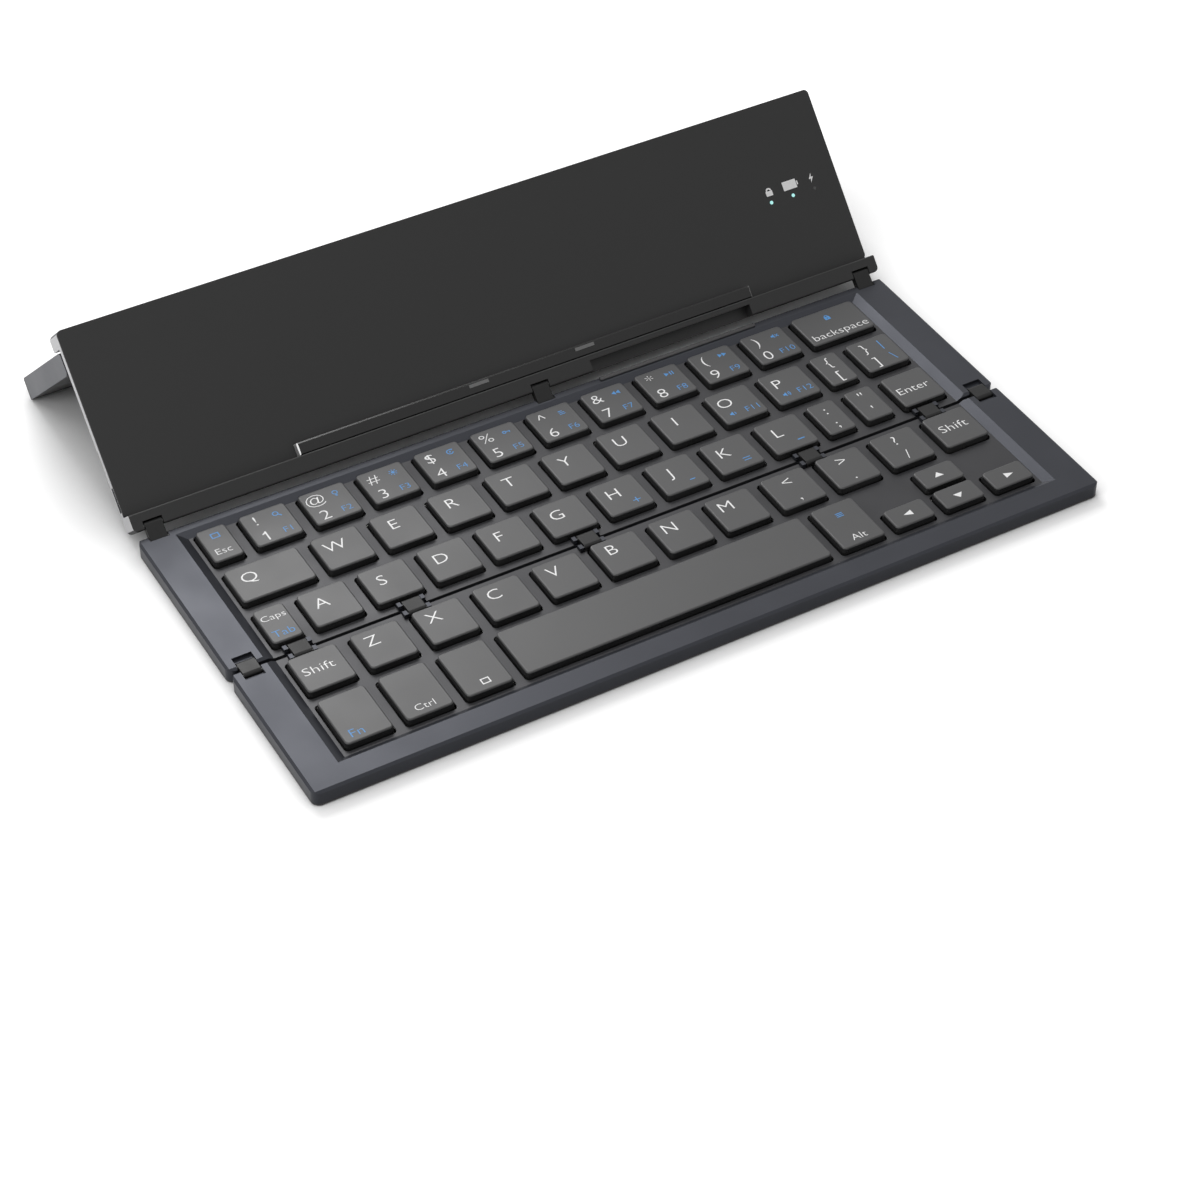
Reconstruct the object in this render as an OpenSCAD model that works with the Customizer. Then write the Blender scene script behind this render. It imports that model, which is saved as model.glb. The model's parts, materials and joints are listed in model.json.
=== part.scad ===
// Folding keyboard: a front and a middle key section, a leaning rear section
// that carries a phone, and a kickstand that props the rear section up.
// Drawn open, as used. The sections are drawn with the deck's top at z = 0 and
// the front fold near y = 0, then lifted so that the feet stand at z = 0.

/* [Sections] */
// Width of every section
body_w = 250; // [244:1:262]
// Depth of the front section, front to back
front_depth = 51.3; // [51:0.1:52]
// Depth of the middle section, front to back
mid_depth = 61.3; // [61:0.1:62]
// Thickness of the front and middle sections without feet
section_t = 4.8; // [4.6:0.1:5.4]
// Slot between the front and the middle section
fold_gap = 1.2; // [1:0.1:1.4]
// Radius of the sections' corners in plan
corner_r = 2.4; // [1:0.1:4]
// Cut edge round the top of a section
edge_chamfer = 0.7; // [0.3:0.1:1]
// Thickness of a bottom cover
cover_t = 0.5; // [0.4:0.1:0.7]
// Height of a rubber foot
foot_h = 0.4; // [0.3:0.05:0.5]
// Length of a rubber foot
foot_len = 24; // [10:1:40]
// Depth of a rubber foot, front to back
foot_w = 4; // [2:0.5:6]

/* [Key well] */
// Width of the side strips of the deck
side_strip_w = 10.6; // [10:0.1:12]
// Depth of the deck's front strip
front_strip_w = 7.4; // [7:0.1:8]
// Depth of the deck's rear strip
rear_strip_w = 3.1; // [3:0.1:3.4]
// Depth of the key grid under the deck's top
well_depth = 1.4; // [1.2:0.1:1.6]
// Width of the sloping border at the sides of the key well
side_bevel = 2.9; // [2:0.1:3.2]
// Width of the sloping border at the front and back of the key well
end_bevel = 2.2; // [1.6:0.1:2.3]
// Thickness of the key grid
grid_t = 0.6; // [0.5:0.05:0.7]

/* [Keys] */
// Distance from a section's end to the first key's top
row_inset = 15.1; // [14.5:0.1:16]
// Distance between two letter keys' tops
key_web = 4.27; // [3.9:0.01:4.6]
// Distance between two rows of letter keys' tops
row_web = 4.55; // [4.2:0.05:5]
// Distance from the fold to the keys' tops on both sides
fold_to_key = 3.1; // [3:0.05:3.4]
// Distance from the middle section's rear end to the keys' tops
rear_key_inset = 5.9; // [5.7:0.05:6.2]
// Distance from the front row's keys to the row behind them
front_row_web = 4; // [3.6:0.05:4.4]
// Distance from the front section's front end to the keys' tops
front_key_inset = 11.5; // [11.2:0.05:12]
// Width of a narrow key
narrow_key_w = 9.1; // [8:0.1:10]
// Width of the backspace key
backspace_w = 21.9; // [20:0.1:23]
// Width of the first letter key in the second row
wide_letter_w = 22.3; // [20:0.1:23]
// Width of the front row's plain keys
bottom_key_w = 14; // [13:0.1:14.4]
// Distance between two keys' tops in the front row
bottom_web = 3.93; // [3.6:0.01:4.4]
// Width of an arrow key
arrow_w = 13.1; // [12:0.1:14]
// Distance between the up arrow key and the down arrow key, before the up arrow's drop
arrow_web = 2.1; // [2:0.1:2.6]
// Height of the key tops over the deck's top
key_proud = 0.65; // [0.5:0.05:0.7]
// Travel of a key
key_travel = 1; // [0.8:0.05:1]
// Spread of a key's sides from its top to the grid
key_spread = 0.3; // [0.1:0.05:0.35]
// Corner radius of a key
key_r = 1.3; // [0.6:0.1:2]
// Rounding cut along the edge of a key's top
key_edge = 0.35; // [0.1:0.05:0.5]
// Gap round a key in the grid
key_gap = 0.35; // [0.25:0.05:0.4]
// Wall of a key cap
key_wall = 0.8; // [0.6:0.1:1]

/* [Fold hinges] */
// Depth of the hinge pins under the deck's top
pin_depth = 1.05; // [1:0.05:1.1]
// Radius of a hinge pin
pin_r = 0.4; // [0.3:0.05:0.45]
// Running clearance of a pin in a link
pin_clear = 0.05; // [0.02:0.01:0.08]
// Half height of a hinge link
link_r = 1.1; // [1:0.05:1.15]
// Width of a hinge link along the fold
link_w = 5.3; // [4.5:0.1:5.6]
// Free space round a hinge link
link_clear = 0.3; // [0.25:0.01:0.35]
// Distance between the two pins of a front link
front_link_len = 3.8; // [3.75:0.05:4]
// Distance between the two pins of a rear link
rear_link_len = 4.6; // [4.5:0.05:4.7]
// Distance of the outer front links from the sections' ends
front_link_inset = 5.8; // [5.4:0.1:6.4]
// Distance of the outer rear links from the sections' ends
rear_link_inset = 6.2; // [5.4:0.1:6.5]
// Place of the rear hinge's middle link
rear_link_mid_x = 5.4; // [0:0.1:12]
// Length of a pin on each side of its link
pin_seat = 1.2; // [1:0.1:1.4]
// Width of the recess behind an outer front link
link_recess = 1.8; // [0.4:0.1:2]

/* [Rear section] */
// Lean of the rear section from the table when in use
lean = 47; // [46:0.5:48]
// Height of the rear section's face above its ledge
face_h = 55.5; // [55:0.1:57]
// Thickness of the rear section behind its face
plate_t = 3.2; // [3:0.1:3.4]
// Height of the hinge bar along the lower edge
bar_h = 5.2; // [5:0.1:5.4]
// Depth that the hinge bar stands in front of the face
bar_proud = 4.9; // [4.85:0.05:5]
// Height of the ridge along the upper edge
ridge_h = 4.9; // [4.5:0.1:5.6]
// Thickness of the face panel
face_t = 0.8; // [0.6:0.1:1]
// Thickness of the back sheet
back_t = 0.7; // [0.5:0.1:0.8]
// Rim of the rear section round its inside
rear_rim = 1.4; // [1:0.1:2]
// Angle of the rear links from the table when in use
rear_link_lean = 43; // [42:0.5:44]
// Left end of the notch in the hinge bar
notch_x0 = 23; // [18:0.5:30]
// Right end of the notch in the hinge bar
notch_x1 = 79; // [70:0.5:90]
// Left end of the phone rest rail
rest_x0 = -71; // [-90:0.5:-60]
// Right end of the phone rest rail
rest_x1 = 82; // [70:0.5:90]
// Height of the phone rest rail
rest_h = 3.8; // [3:0.1:4]
// Depth of the phone rest rail
rest_d = 3; // [2:0.1:3.5]

/* [Kickstand] */
// Thickness of the kickstand
kick_t = 6.8; // [6.6:0.1:7]
// Gap between the closed kickstand and the rear section
kick_gap = 0.2; // [0.15:0.05:0.25]
// Gap between the kickstand and the ridge
ridge_gap = 0.7; // [0.7:0.1:1.2]
// Wall of the kickstand shell
kick_wall = 1.1; // [0.8:0.1:1.6]
// Thickness of the kickstand's inner cover
kick_cover_t = 0.8; // [0.6:0.1:1]
// Radius of the kickstand's foot edge
kick_foot_r = 0.7; // [0.4:0.1:1]
// Radius of the kickstand's hinge pins
kick_pin_r = 1; // [0.8:0.05:1.2]
// Distance of the kickstand's brackets from its ends
bracket_inset = 19; // [18:1:35]
// Width of a kickstand bracket
bracket_w = 4; // [3:0.5:5]

/* [Electronics] */
// Length of the battery
battery_len = 118; // [80:1:130]
// Width of the battery
battery_w = 36; // [30:1:38]
// Distance of the middle indicator light from the right end
lights_inset = 16.8; // [15:0.1:25]
// Distance between the indicator lights
lights_pitch = 7.9; // [6:0.1:8.5]
// Height of the indicator lights above the ledge
lights_h = 25.6; // [20:0.1:30]
// Height of the charging port above the ledge
port_h = 5.2; // [5:0.1:6]

/* [Hidden] */
$fn = 32;
eps = 0.01;

// Fold line, from the front link's two pins
fold_y = -0.4;
mid_y0 = fold_y + fold_gap / 2;
mid_y1 = mid_y0 + mid_depth;
front_y1 = fold_y - fold_gap / 2;
front_y0 = front_y1 - front_depth;
pin_z = -pin_depth;
mid_pin_y = fold_y + front_link_len / 2;
front_pin_y = fold_y - front_link_len / 2;
table_z = -section_t - foot_h;

// Well and grid
well_x = body_w / 2 - side_strip_w;
well_floor = -well_depth;
grid_bottom = well_floor - grid_t;
cavity_wall = 0.4;
cavity_x = well_x - cavity_wall;
well_y0 = front_y0 + front_strip_w;
well_y1 = mid_y1 - rear_strip_w;
rail_w = 2.2;
seat_clear = 0.1;

// Layers under the grid, from the bottom cover up
cover_top = -section_t + cover_t;
support_t = 0.3;
membrane_t = 0.15;
dome_sheet_t = 0.2;
support_top = cover_top + support_t;
membrane_top = support_top + membrane_t;
sheet_top = membrane_top + dome_sheet_t;
dome_r = 2.4;
dome_h = 0.25;

// Keys
tab_w = 0.5;
tab_d = 4;
tab_gap = 0.25;
tab_top = grid_bottom - tab_gap;
stop_gap = 0.05;
key_bottom = sheet_top + key_travel + stop_gap;
key_cap_t = 0.9;
stem_r = 1.5;
stem_bottom = key_bottom + dome_h;
row_w = body_w - 2 * row_inset;
row_x0 = -row_w / 2;
// The keys' places and widths are rounded to this step
key_step = 0.05;
key_w = stepped((row_w - 11 * key_web) / 12);
space_w = stepped(row_w - 4 * bottom_key_w - 3 * arrow_w - 7 * bottom_web);
row_pitch = stepped((mid_depth - fold_to_key - rear_key_inset + row_web) / 3);
key_d = stepped(row_pitch - row_web);
fold_to_row = fold_to_key + key_d / 2;
fold_to_front_row = fold_to_row + key_d / 2 + front_row_web;
front_key_d = stepped(front_depth - fold_to_front_row - front_key_inset);
arrow_d = stepped((front_key_d - arrow_web) / 2);
row3_y = mid_y0 + fold_to_row;
row2_y = row3_y + row_pitch;
row1_y = row2_y + row_pitch;
row4_y = front_y1 - fold_to_row;
row5_y = front_y1 - fold_to_front_row - front_key_d / 2;

// Rear section, in its own frame: s up the face, d out of the face
s_low = -bar_h;
rear_pin_inset = link_r;
rear_mid_pin_y = mid_y1 - rear_pin_inset;
rear_pin_s = s_low + rear_pin_inset;
rear_pin_d = bar_proud - 1.15;
rear_pin_y = rear_mid_pin_y + rear_link_len * cos(rear_link_lean);
rear_pin_z = pin_z + rear_link_len * sin(rear_link_lean);
ledge_y = rear_pin_y - rear_pin_s * cos(lean) + rear_pin_d * sin(lean);
ledge_z = rear_pin_z - rear_pin_s * sin(lean) - rear_pin_d * cos(lean);
inside_d0 = -plate_t + back_t;
inside_d1 = -face_t;
board_t = 0.6;
board_top = inside_d0 + board_t;
ridge_d = plate_t + kick_gap + kick_t;

// Kickstand, hinged at the middle of its thickness
kick_top_s = face_h - ridge_h - ridge_gap;
kick_axis_s = kick_top_s - kick_t / 2;
kick_axis_d = -plate_t - kick_gap - kick_t / 2;
kick_len = kick_axis_s - s_low;
kick_axis_y = ledge_y + kick_axis_s * cos(lean) - kick_axis_d * sin(lean);
kick_axis_z = ledge_z + kick_axis_s * sin(lean) + kick_axis_d * cos(lean);
// The foot's lower rounded edge rests on the table
foot_a = kick_len - kick_foot_r;
foot_b = kick_t / 2 - kick_foot_r;
foot_reach = sqrt(foot_a * foot_a + foot_b * foot_b);
foot_rise = kick_axis_z - table_z - kick_foot_r;
kick_dir = 180 - asin(foot_rise / foot_reach) + atan2(foot_b, foot_a);
foot_y_max = kick_axis_y - foot_a * cos(kick_dir) + foot_b * sin(kick_dir) + kick_foot_r;
kick_end_set_back = 1.2;
kick_end_inset = 10.3;
kick_end_x = body_w / 2 - kick_end_inset;
bracket_x = body_w / 2 - bracket_inset;
kick_rib_x = 40;
lights_x = body_w / 2 - lights_inset;
ear_r = 2.2;

// Row frame: the middle of the footprint, on the table
origin_y = (front_y0 + foot_y_max) / 2;

function sum(v, n) = n <= 0 ? 0 : v[n - 1] + sum(v, n - 1);
function row_gap(w) = (row_w - sum(w, len(w))) / (len(w) - 1);
function stepped(v) = round(v / key_step) * key_step;
function key_x(w, i) = stepped(row_x0 + sum(w, i) + i * row_gap(w) + w[i] / 2);
function same(value, n) = [for (i = [1:n]) value];

row1_w = concat([narrow_key_w], same(key_w, 10), [backspace_w]);
row1_keys = concat(["esc_key"], same("number_keys_left", 5), same("number_keys_right", 5), ["backspace_key"]);
row2_w = concat([wide_letter_w], same(key_w, 9), [narrow_key_w, key_w]);
row2_keys = concat(same("letter_keys_q_to_t", 5), same("letter_keys_y_to_p", 5), same("punctuation_keys", 2));
row3_w = concat([narrow_key_w], same(key_w, 9), same(narrow_key_w, 2), [key_w]);
row3_keys = concat(["caps_key"], same("letter_keys_a_to_g", 5), same("letter_keys_h_to_l", 4),
                   same("punctuation_keys", 2), ["enter_key"]);
row4_w = same(key_w, 12);
row4_keys = concat(["left_shift_key"], same("letter_keys_z_to_b", 5),
                   same("letter_keys_n_to_slash", 5), ["right_shift_key"]);
row5_w = concat(same(bottom_key_w, 3), [space_w, bottom_key_w], same(arrow_w, 3));
row5_keys = ["fn_key", "ctrl_key", "command_key", "space_bar", "alt_key", "left_arrow_key",
             "up_arrow_key", "right_arrow_key"];

// Each key is [group, x, y, width, depth]
function row_list(names, w, y, d) = [for (i = [0:len(w) - 1]) [names[i], key_x(w, i), y, w[i], d]];
arrow_y = row5_y - (front_key_d - arrow_d) / 2;
up_arrow_drop = 0.2;
up_arrow_y = row5_y + (front_key_d - arrow_d) / 2 - up_arrow_drop;
up_arrow_x = key_x(row5_w, 6);
MID_KEYS = concat(row_list(row1_keys, row1_w, row1_y, key_d), row_list(row2_keys, row2_w, row2_y, key_d),
                  row_list(row3_keys, row3_w, row3_y, key_d));
row5_full = [for (k = row_list(row5_keys, row5_w, row5_y, front_key_d)) if (k[3] != arrow_w) k];
row5_arrows = [for (k = row_list(row5_keys, row5_w, arrow_y, arrow_d)) if (k[3] == arrow_w)
               k[0] == "up_arrow_key" ? [k[0], k[1], up_arrow_y, k[3], k[4]] : k];
FRONT_KEYS = concat(row_list(row4_keys, row4_w, row4_y, key_d), row5_full, row5_arrows,
                    [["down_arrow_key", up_arrow_x, arrow_y, arrow_w, arrow_d]]);

// Links along the folds; the inner front ones by their share of half the width
front_link_x = body_w / 2 - front_link_inset;
rear_link_x = body_w / 2 - rear_link_inset;
inner_link_places = [-0.832, -0.556, -0.1152, 0.4744, 0.8088];
front_link_xs = concat([-front_link_x], [for (p = inner_link_places) p * body_w / 2], [front_link_x]);
rear_link_xs = [-rear_link_x, rear_link_mid_x, rear_link_x];
screw_x = body_w / 2 - side_strip_w / 2;

deck_color = "dimgray";
dark_color = [0.14, 0.14, 0.15];

// ---- shared shapes ----

module lift() {
  translate([0, -origin_y, -table_z]) children();
}

module rounded_plate(x0, x1, y0, y1, z0, z1, r) {
  translate([0, 0, z0]) linear_extrude(z1 - z0) {
    translate([x0 + r, y0]) square([x1 - x0 - 2 * r, y1 - y0]);
    translate([x0, y0 + r]) square([x1 - x0, y1 - y0 - 2 * r]);
    for (x = [x0 + r, x1 - r], y = [y0 + r, y1 - r]) translate([x, y]) circle(r);
  }
}

// A profile of x and z points drawn out along y, and one of y and z drawn out along x
module along_y(points, y0, y1) {
  translate([0, y1, 0]) rotate([90, 0, 0]) linear_extrude(y1 - y0) polygon(points);
}
module along_x(points, x0, x1) {
  translate([x0, 0, 0]) rotate([90, 0, 90]) linear_extrude(x1 - x0) polygon(points);
}

// Side view of a block whose upper edges are cut, and that spreads towards its foot
function cut_profile(a0, a1, z0, z1, cut, spread) = [
  [a0 - spread, z0], [a1 + spread, z0], [a1, z1 - cut], [a1 - cut, z1], [a0 + cut, z1], [a0, z1 - cut]];

module cut_block(x0, x1, y0, y1, z0, z1, r, cut, spread = 0) {
  intersection() {
    rounded_plate(x0 - spread, x1 + spread, y0 - spread, y1 + spread, z0, z1, r);
    along_y(cut_profile(x0, x1, z0, z1, cut, spread), y0 - spread - 1, y1 + spread + 1);
    along_x(cut_profile(y0, y1, z0, z1, cut, spread), x0 - spread - 1, x1 + spread + 1);
  }
}

module box(x0, x1, y0, y1, z0, z1) {
  translate([x0, y0, z0]) cube([x1 - x0, y1 - y0, z1 - z0]);
}

module rod_x(x0, x1, y, z, r) {
  translate([x0, y, z]) rotate([0, 90, 0]) cylinder(r = r, h = x1 - x0);
}

// ---- deck frames of the front and middle sections ----

// The key well: open at the fold, with sloping borders on the other three sides
module well_cut(y0, y1, bevel0, bevel1) {
  intersection() {
    along_y([[-well_x + side_bevel, well_floor], [well_x - side_bevel, well_floor],
             [well_x, 0], [well_x, 1], [-well_x, 1], [-well_x, 0]], y0 - 1, y1 + 1);
    along_x([[y0 + bevel0, well_floor], [y1 - bevel1, well_floor], [y1, 0], [y1, 1], [y0, 1], [y0, 0]],
            -well_x - 1, well_x + 1);
  }
}

// Room for a link at a pin: dir is +1 where the link leaves towards +y
module link_room(x, y, z, dir, extra, reach) {
  half = link_w / 2 + link_clear;
  r = link_r + link_clear;
  rod_x(x - half, x + half, y, z, r);
  edge = y + dir * reach;
  box(x - half, x + half, min(y, edge), max(y, edge), z - r, 3);
  back = y - dir * (r + extra);
  box(x - half, x + half, min(y, back), max(y, back), z, 3);
}

module pin_bore(x, y, z) {
  half = link_w / 2 + pin_seat;
  rod_x(x - half, x + half, y, z, pin_r);
}

// Ears that carry the pins of the links inside the key well
module well_ears(y, y_out) {
  for (i = [1:len(front_link_xs) - 2], side = [-1, 1]) {
    x = front_link_xs[i] + side * (link_w / 2 + link_clear + pin_seat / 2);
    top = pin_z + pin_r + 0.35;
    box(x - pin_seat / 2, x + pin_seat / 2, min(y_out, y) , max(y_out, y), grid_bottom - 1, pin_z);
    box(x - pin_seat / 2, x + pin_seat / 2, y - 0.85, y + 0.85, grid_bottom - 1, top);
  }
}

module frame_body(y0, y1, cavity_y0, cavity_y1) {
  difference() {
    cut_block(-body_w / 2, body_w / 2, y0, y1, cover_top, 0, corner_r, edge_chamfer);
    box(-cavity_x, cavity_x, cavity_y0, cavity_y1, cover_top - 1, well_floor + eps);
    children();
  }
}

mid_cavity_y1 = well_y1 - cavity_wall;
front_cavity_y0 = well_y0 + cavity_wall;
mid_rail_y = mid_y0 + rail_w;
front_rail_y = front_y1 - rail_w;

module screw_holes(ys) {
  for (x = [-screw_x, screw_x], y = ys)
    translate([x, y, cover_top - 1]) cylinder(r = screw_r, h = screw_len + 1);
}

screw_r = 0.6;
screw_len = 2;
screw_head_r = 1.2;
screw_head_h = 0.3;
mid_screw_ys = [mid_y0 + 8, mid_y0 + mid_depth / 2, mid_y1 - 8];
front_screw_ys = [front_y0 + 7, front_y1 - 9];

module mid_frame() {
  color(deck_color) lift() difference() {
    union() {
      frame_body(mid_y0, mid_y1, mid_rail_y, mid_cavity_y1) {
        well_cut(mid_y0 - 5, well_y1, 0, end_bevel);
        box(-cavity_x, cavity_x, mid_y0 - 1, mid_rail_y + eps, grid_bottom, well_floor + eps);
      }
      well_ears(mid_pin_y, mid_y0 + 0.3);
    }
    for (x = front_link_xs)
      link_room(x, mid_pin_y, pin_z, -1, abs(x) < cavity_x ? 0 : link_recess - link_clear, 3);
    for (x = front_link_xs) pin_bore(x, mid_pin_y, pin_z);
    for (x = rear_link_xs) {
      link_room(x, rear_mid_pin_y, pin_z, 1, 0, 3);
      pin_bore(x, rear_mid_pin_y, pin_z);
    }
    screw_holes(mid_screw_ys);
  }
}

module front_frame() {
  color(deck_color) lift() difference() {
    union() {
      frame_body(front_y0, front_y1, front_cavity_y0, front_rail_y) {
        well_cut(well_y0, front_y1 + 5, end_bevel, 0);
        box(-cavity_x, cavity_x, front_rail_y - eps, front_y1 + 1, grid_bottom, well_floor + eps);
      }
      well_ears(front_pin_y, front_y1 - 0.3);
    }
    for (x = front_link_xs) {
      link_room(x, front_pin_y, pin_z, 1, abs(x) < cavity_x ? 0 : link_recess - link_clear, 3);
      pin_bore(x, front_pin_y, pin_z);
    }
    screw_holes(front_screw_ys);
  }
}

// ---- key grids ----

// Notches in a grid where the links and their ears pass
module ear_notches(y, y_edge) {
  for (i = [1:len(front_link_xs) - 2]) {
    half = link_w / 2 + link_clear + pin_seat + seat_clear;
    x = front_link_xs[i];
    back = y + sign(y - y_edge) * (link_r + link_clear);
    box(x - half, x + half, min(y_edge, back), max(y_edge, back), grid_bottom - 1, well_floor + 1);
  }
}

module key_holes(keys) {
  for (k = keys) {
    hx = k[3] / 2 + key_spread + key_gap;
    hy = k[4] / 2 + key_spread + key_gap;
    rounded_plate(k[1] - hx, k[1] + hx, k[2] - hy, k[2] + hy, grid_bottom - 1, well_floor + 1, key_r);
  }
}

module key_grid(keys, y0, y1) {
  difference() {
    box(-cavity_x + seat_clear, cavity_x - seat_clear, y0, y1, grid_bottom, well_floor);
    key_holes(keys);
    children();
  }
}

module mid_key_grid() {
  color(deck_color) lift() key_grid(MID_KEYS, mid_y0, mid_cavity_y1 - seat_clear)
    ear_notches(mid_pin_y, mid_y0 - 1);
}

module front_key_grid() {
  color(deck_color) lift() key_grid(FRONT_KEYS, front_cavity_y0 + seat_clear, front_y1)
    ear_notches(front_pin_y, front_y1 + 1);
}

// ---- layers under the keys ----

module sheet(y0, y1, z0, z1) {
  box(-cavity_x + 2 * seat_clear, cavity_x - 2 * seat_clear, y0, y1, z0, z1);
}

module domes(keys) {
  for (k = keys) translate([k[1], k[2], sheet_top - eps]) cylinder(r = dome_r, h = dome_h + eps);
}

mid_sheet_y0 = mid_rail_y + 0.2;
mid_sheet_y1 = mid_cavity_y1 - 0.2;
front_sheet_y0 = front_cavity_y0 + 0.2;
front_sheet_y1 = front_rail_y - 0.2;

module mid_dome_sheet() {
  color("silver") lift() {
    sheet(mid_sheet_y0, mid_sheet_y1, membrane_top, sheet_top);
    domes(MID_KEYS);
  }
}
module front_dome_sheet() {
  color("silver") lift() {
    sheet(front_sheet_y0, front_sheet_y1, membrane_top, sheet_top);
    domes(FRONT_KEYS);
  }
}
module mid_membrane() {
  color("honeydew") lift() sheet(mid_sheet_y0, mid_sheet_y1, support_top, membrane_top);
}
module front_membrane() {
  color("honeydew") lift() sheet(front_sheet_y0, front_sheet_y1, support_top, membrane_top);
}
module mid_support_plate() {
  color("lightsteelblue") lift() sheet(mid_sheet_y0, mid_sheet_y1, cover_top, support_top);
}
module front_support_plate() {
  color("lightsteelblue") lift() sheet(front_sheet_y0, front_sheet_y1, cover_top, support_top);
}

// ---- bottom covers, screws and feet ----

module bottom_cover(y0, y1, screw_ys) {
  difference() {
    rounded_plate(-body_w / 2, body_w / 2, y0, y1, -section_t, cover_top, corner_r);
    for (x = [-screw_x, screw_x], y = screw_ys) translate([x, y, -section_t - 1]) {
      cylinder(r = screw_r, h = cover_t + 2);
      cylinder(r = screw_head_r, h = screw_head_h + 1);
    }
  }
}

module screws(ys) {
  for (x = [-screw_x, screw_x], y = ys) translate([x, y, -section_t]) difference() {
    union() {
      cylinder(r = screw_head_r, h = screw_head_h);
      cylinder(r = screw_r, h = cover_t + screw_len);
    }
    for (a = [0, 90]) rotate([0, 0, a]) translate([-0.8, -0.15, -1]) cube([1.6, 0.3, 1.15]);
  }
}

module foot(x, y) {
  rounded_plate(x - foot_len / 2, x + foot_len / 2, y - foot_w / 2, y + foot_w / 2,
                table_z, -section_t, foot_w / 2 - 0.1);
}

mid_foot_ys = [mid_y0 + 8, mid_y1 - 7];
front_foot_y = front_y0 + 7;
foot_inset = 32;
foot_x = body_w / 2 - foot_inset;

module mid_bottom_cover() {
  color(dark_color) lift() bottom_cover(mid_y0, mid_y1, mid_screw_ys);
}
module front_bottom_cover() {
  color(dark_color) lift() bottom_cover(front_y0, front_y1, front_screw_ys);
}
module mid_feet() {
  color("black") lift() for (x = [-foot_x, foot_x], y = mid_foot_ys) foot(x, y);
}
module front_feet() {
  color("black") lift() for (x = [-foot_x, foot_x]) foot(x, front_foot_y);
}
module mid_screws() {
  color("gray") lift() screws(mid_screw_ys);
}
module front_screws() {
  color("gray") lift() screws(front_screw_ys);
}

// A low cover on the deck where the cable goes over to the rear section
cable_cover_h = 0.6;
cable_cover_inset = 0.8;
cable_cover_r = 0.4;
cable_cover_cut = 0.25;
module cable_cover() {
  color("gray") lift()
    cut_block(notch_x0 + cable_cover_inset, notch_x1 - cable_cover_inset, well_y1 + cable_cover_inset,
              mid_y1 - edge_chamfer, 0, cable_cover_h, cable_cover_r, cable_cover_cut);
}

// ---- hinge links and pins ----

// A link lies from y towards +y by its length, and is turned about that end by an angle
module link(x, y, z, length, angle) {
  translate([x - link_w / 2, y, z]) rotate([angle, 0, 0]) rotate([90, 0, 90]) linear_extrude(link_w)
    difference() {
      union() {
        circle(link_r);
        translate([length, 0]) circle(link_r);
        translate([0, -link_r]) square([length, 2 * link_r]);
      }
      circle(pin_r + pin_clear);
      translate([length, 0]) circle(pin_r + pin_clear);
    }
}

module pins(xs, y, z) {
  half = link_w / 2 + pin_seat;
  for (x = xs) rod_x(x - half, x + half, y, z, pin_r);
}

module front_hinge_links() {
  color(dark_color) lift() for (x = front_link_xs) link(x, front_pin_y, pin_z, front_link_len, 0);
}
module front_hinge_pins_mid() {
  color("silver") lift() pins(front_link_xs, mid_pin_y, pin_z);
}
module front_hinge_pins_front() {
  color("silver") lift() pins(front_link_xs, front_pin_y, pin_z);
}
module rear_hinge_links() {
  color(dark_color) lift()
    for (x = rear_link_xs) link(x, rear_mid_pin_y, pin_z, rear_link_len, rear_link_lean);
}
module rear_hinge_pins_mid() {
  color("silver") lift() pins(rear_link_xs, rear_mid_pin_y, pin_z);
}
module rear_hinge_pins_rear() {
  color("silver") lift() pins(rear_link_xs, rear_pin_y, rear_pin_z);
}

// ---- rear section ----

// From the rear section's own frame to the sections' frame
module leaning() {
  translate([0, ledge_y, ledge_z]) rotate([lean, 0, 0]) children();
}

half_w = body_w / 2;
board_x0 = -half_w + 12;
board_x1 = half_w - 4;
board_s0 = 1.4;
board_s1 = 9.4;
board_tab_inset = 14;
board_tab_x = lights_x - board_tab_inset;
board_tab_s = lights_h + 7;
port_w = 7.4;
port_t = 1.6;
port_len = 6;
port_wall = 0.3;
battery_t = 1.5;
battery_x = -10;
battery_s = 31;
finger_slot_inset = 20;
finger_slot_w = 14;
finger_slot_in = 1;
finger_slot_t = 0.5;
end_slot_s = 13;
end_slot_len = 7;
ridge_cut = 1;
bar_cut = 0.3;
rear_corner_r = 1.5;
// Depth of the phone rest rail's seat in the face panel
rest_seat = 0.1;

// Outline of the rear section seen from its left end, in s and d
function rear_outline() = [
  [s_low, -plate_t], [face_h - ridge_h, -plate_t], [face_h - ridge_h, -ridge_d],
  [face_h - ridge_cut, -ridge_d], [face_h, -ridge_d + ridge_cut], [face_h, -face_t],
  [0, -face_t], [0, bar_proud - bar_cut], [-bar_cut, bar_proud], [s_low + bar_cut, bar_proud],
  [s_low, bar_proud - bar_cut]];

module rear_link_room(x) {
  half = link_w / 2 + link_clear;
  r = link_r + link_clear;
  rod_x(x - half, x + half, rear_pin_s, rear_pin_d, r);
  box(x - half, x + half, s_low - 1, rear_pin_s, rear_pin_d - r, rear_pin_d + 9);
  box(x - half, x + half, rear_pin_s - 1, rear_pin_s + r, rear_pin_d, rear_pin_d + 9);
}

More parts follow.
